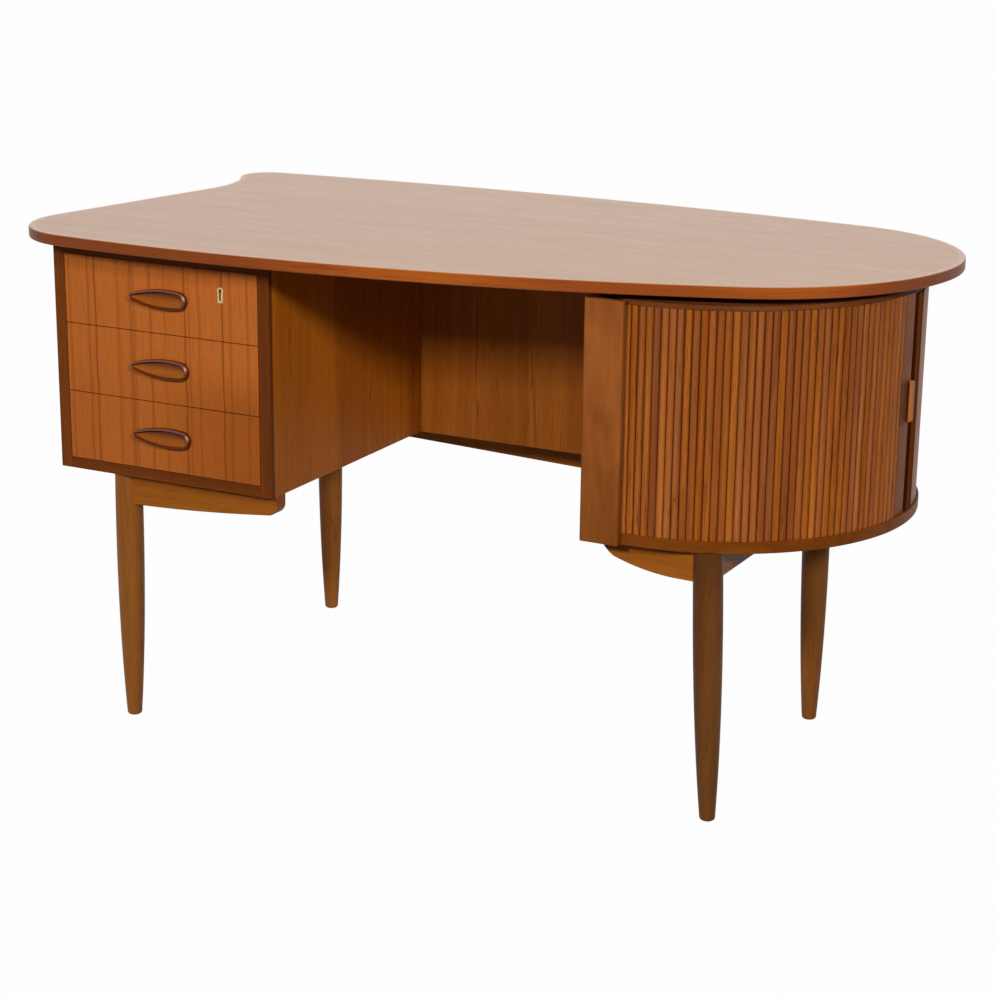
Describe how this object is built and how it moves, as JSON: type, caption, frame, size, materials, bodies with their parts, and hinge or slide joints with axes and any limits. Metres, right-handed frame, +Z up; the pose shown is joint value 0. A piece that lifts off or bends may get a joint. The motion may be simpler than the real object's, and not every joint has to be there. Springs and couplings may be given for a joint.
{
  "type": "kidney desk",
  "caption": "Free-standing teak kidney desk with a drawer pedestal, a round tambour cabinet, an open bookcase at the back and turned tapered legs.",
  "frame": {"origin": "on the floor, below the middle of the top's bounding box", "axes": "+Z up, +X to the sitter's right along the desk, +Y from the sitter towards the back; the drawers open towards -Y"},
  "size_m": [1.268, 0.695, 0.727],
  "materials": {
    "top_veneer": "satin oiled veneer, seen pale under a glancing light",
    "lipping_teak": "satin oiled solid teak",
    "carcass_veneer": "satin oiled veneer, upright grain",
    "drawer_veneer": "satin oiled veneer, upright striped grain",
    "drawer_box_wood": "pale unfinished hardwood",
    "dark_teak": "dark oiled solid teak",
    "solid_teak": "satin oiled solid teak",
    "slat_teak": "oiled slats that vary in tone",
    "hidden_beech": "plain beech",
    "canvas": "brown woven canvas",
    "brass": "dull worn brass",
    "lock_steel": "dull steel"
  },
  "bodies": {
    "frame": {"batten_cabinet_left": "hidden_beech", "batten_cabinet_right": "hidden_beech", "batten_pedestal_left": "hidden_beech", "batten_pedestal_right": "hidden_beech", "bookcase_bottom": "carcass_veneer", "bookcase_divider": "carcass_veneer", "bookcase_shelf_left": "carcass_veneer", "bookcase_shelf_right": "carcass_veneer", "bookcase_top": "carcass_veneer", "bracket_left": "solid_teak", "bracket_right": "solid_teak", "cabinet_back": "carcass_veneer", "cabinet_bottom": "lipping_teak", "cabinet_shelf": "carcass_veneer", "cabinet_side": "carcass_veneer", "cabinet_top": "lipping_teak", "curtain_trail_canvas": "canvas", "curtain_trail_slats": "slat_teak", "curved_wall": "carcass_veneer", "desktop_lipping": "lipping_teak", "desktop_panel": "top_veneer", "front_stile": "solid_teak", "leg_front_left": "solid_teak", "leg_front_right": "solid_teak", "leg_rear_left": "solid_teak", "leg_rear_right": "solid_teak", "modesty_panel": "carcass_veneer", "pedestal_back": "carcass_veneer", "pedestal_bottom": "carcass_veneer", "pedestal_edging_bottom": "dark_teak", "pedestal_edging_left": "dark_teak", "pedestal_edging_right": "dark_teak", "pedestal_edging_top": "dark_teak", "pedestal_side_left": "carcass_veneer", "pedestal_side_right": "carcass_veneer", "pedestal_top": "carcass_veneer", "rear_stile": "dark_teak", "runners_left": "hidden_beech", "runners_right": "hidden_beech", "side_rail_left": "solid_teak", "side_rail_right": "solid_teak", "stretcher": "solid_teak"},
    "drawer_lower": {"drawer_lower_front": "drawer_veneer", "drawer_lower_walls": "drawer_box_wood", "drawer_lower_bottom": "drawer_box_wood", "drawer_lower_pull": "dark_teak"},
    "drawer_middle": {"drawer_middle_front": "drawer_veneer", "drawer_middle_walls": "drawer_box_wood", "drawer_middle_bottom": "drawer_box_wood", "drawer_middle_pull": "dark_teak"},
    "drawer_upper": {"drawer_upper_front": "drawer_veneer", "drawer_upper_walls": "drawer_box_wood", "drawer_upper_bottom": "drawer_box_wood", "drawer_upper_pull": "dark_teak", "escutcheon": "brass", "lock_case": "lock_steel"},
    "lock_bolt": {"lock_bolt": "lock_steel"},
    "curtain": {"curtain_lead_slats": "slat_teak", "curtain_lead_canvas": "canvas", "curtain_pull": "dark_teak"}
  },
  "joints": [
    {"name": "drawer_lower_slide", "type": "slide", "parent": "frame", "child": "drawer_lower", "axis": [0, -1, 0], "range_m": [0, 0.3]},
    {"name": "drawer_middle_slide", "type": "slide", "parent": "frame", "child": "drawer_middle", "axis": [0, -1, 0], "range_m": [0, 0.3]},
    {"name": "drawer_upper_slide", "type": "slide", "parent": "frame", "child": "drawer_upper", "axis": [0, -1, 0], "range_m": [0, 0.3]},
    {"name": "lock_bolt_slide", "type": "slide", "parent": "drawer_upper", "child": "lock_bolt", "axis": [0, 0, 1], "range_m": [0, 0.007]},
    {"name": "curtain_slide", "type": "hinge", "parent": "frame", "child": "curtain", "pos_m": [0.308, 0.04927, 0], "axis": [0, 0, -1], "range_deg": [0, 80], "deforming": ["curtain_trail_slats", "curtain_trail_canvas"]}
  ]
}
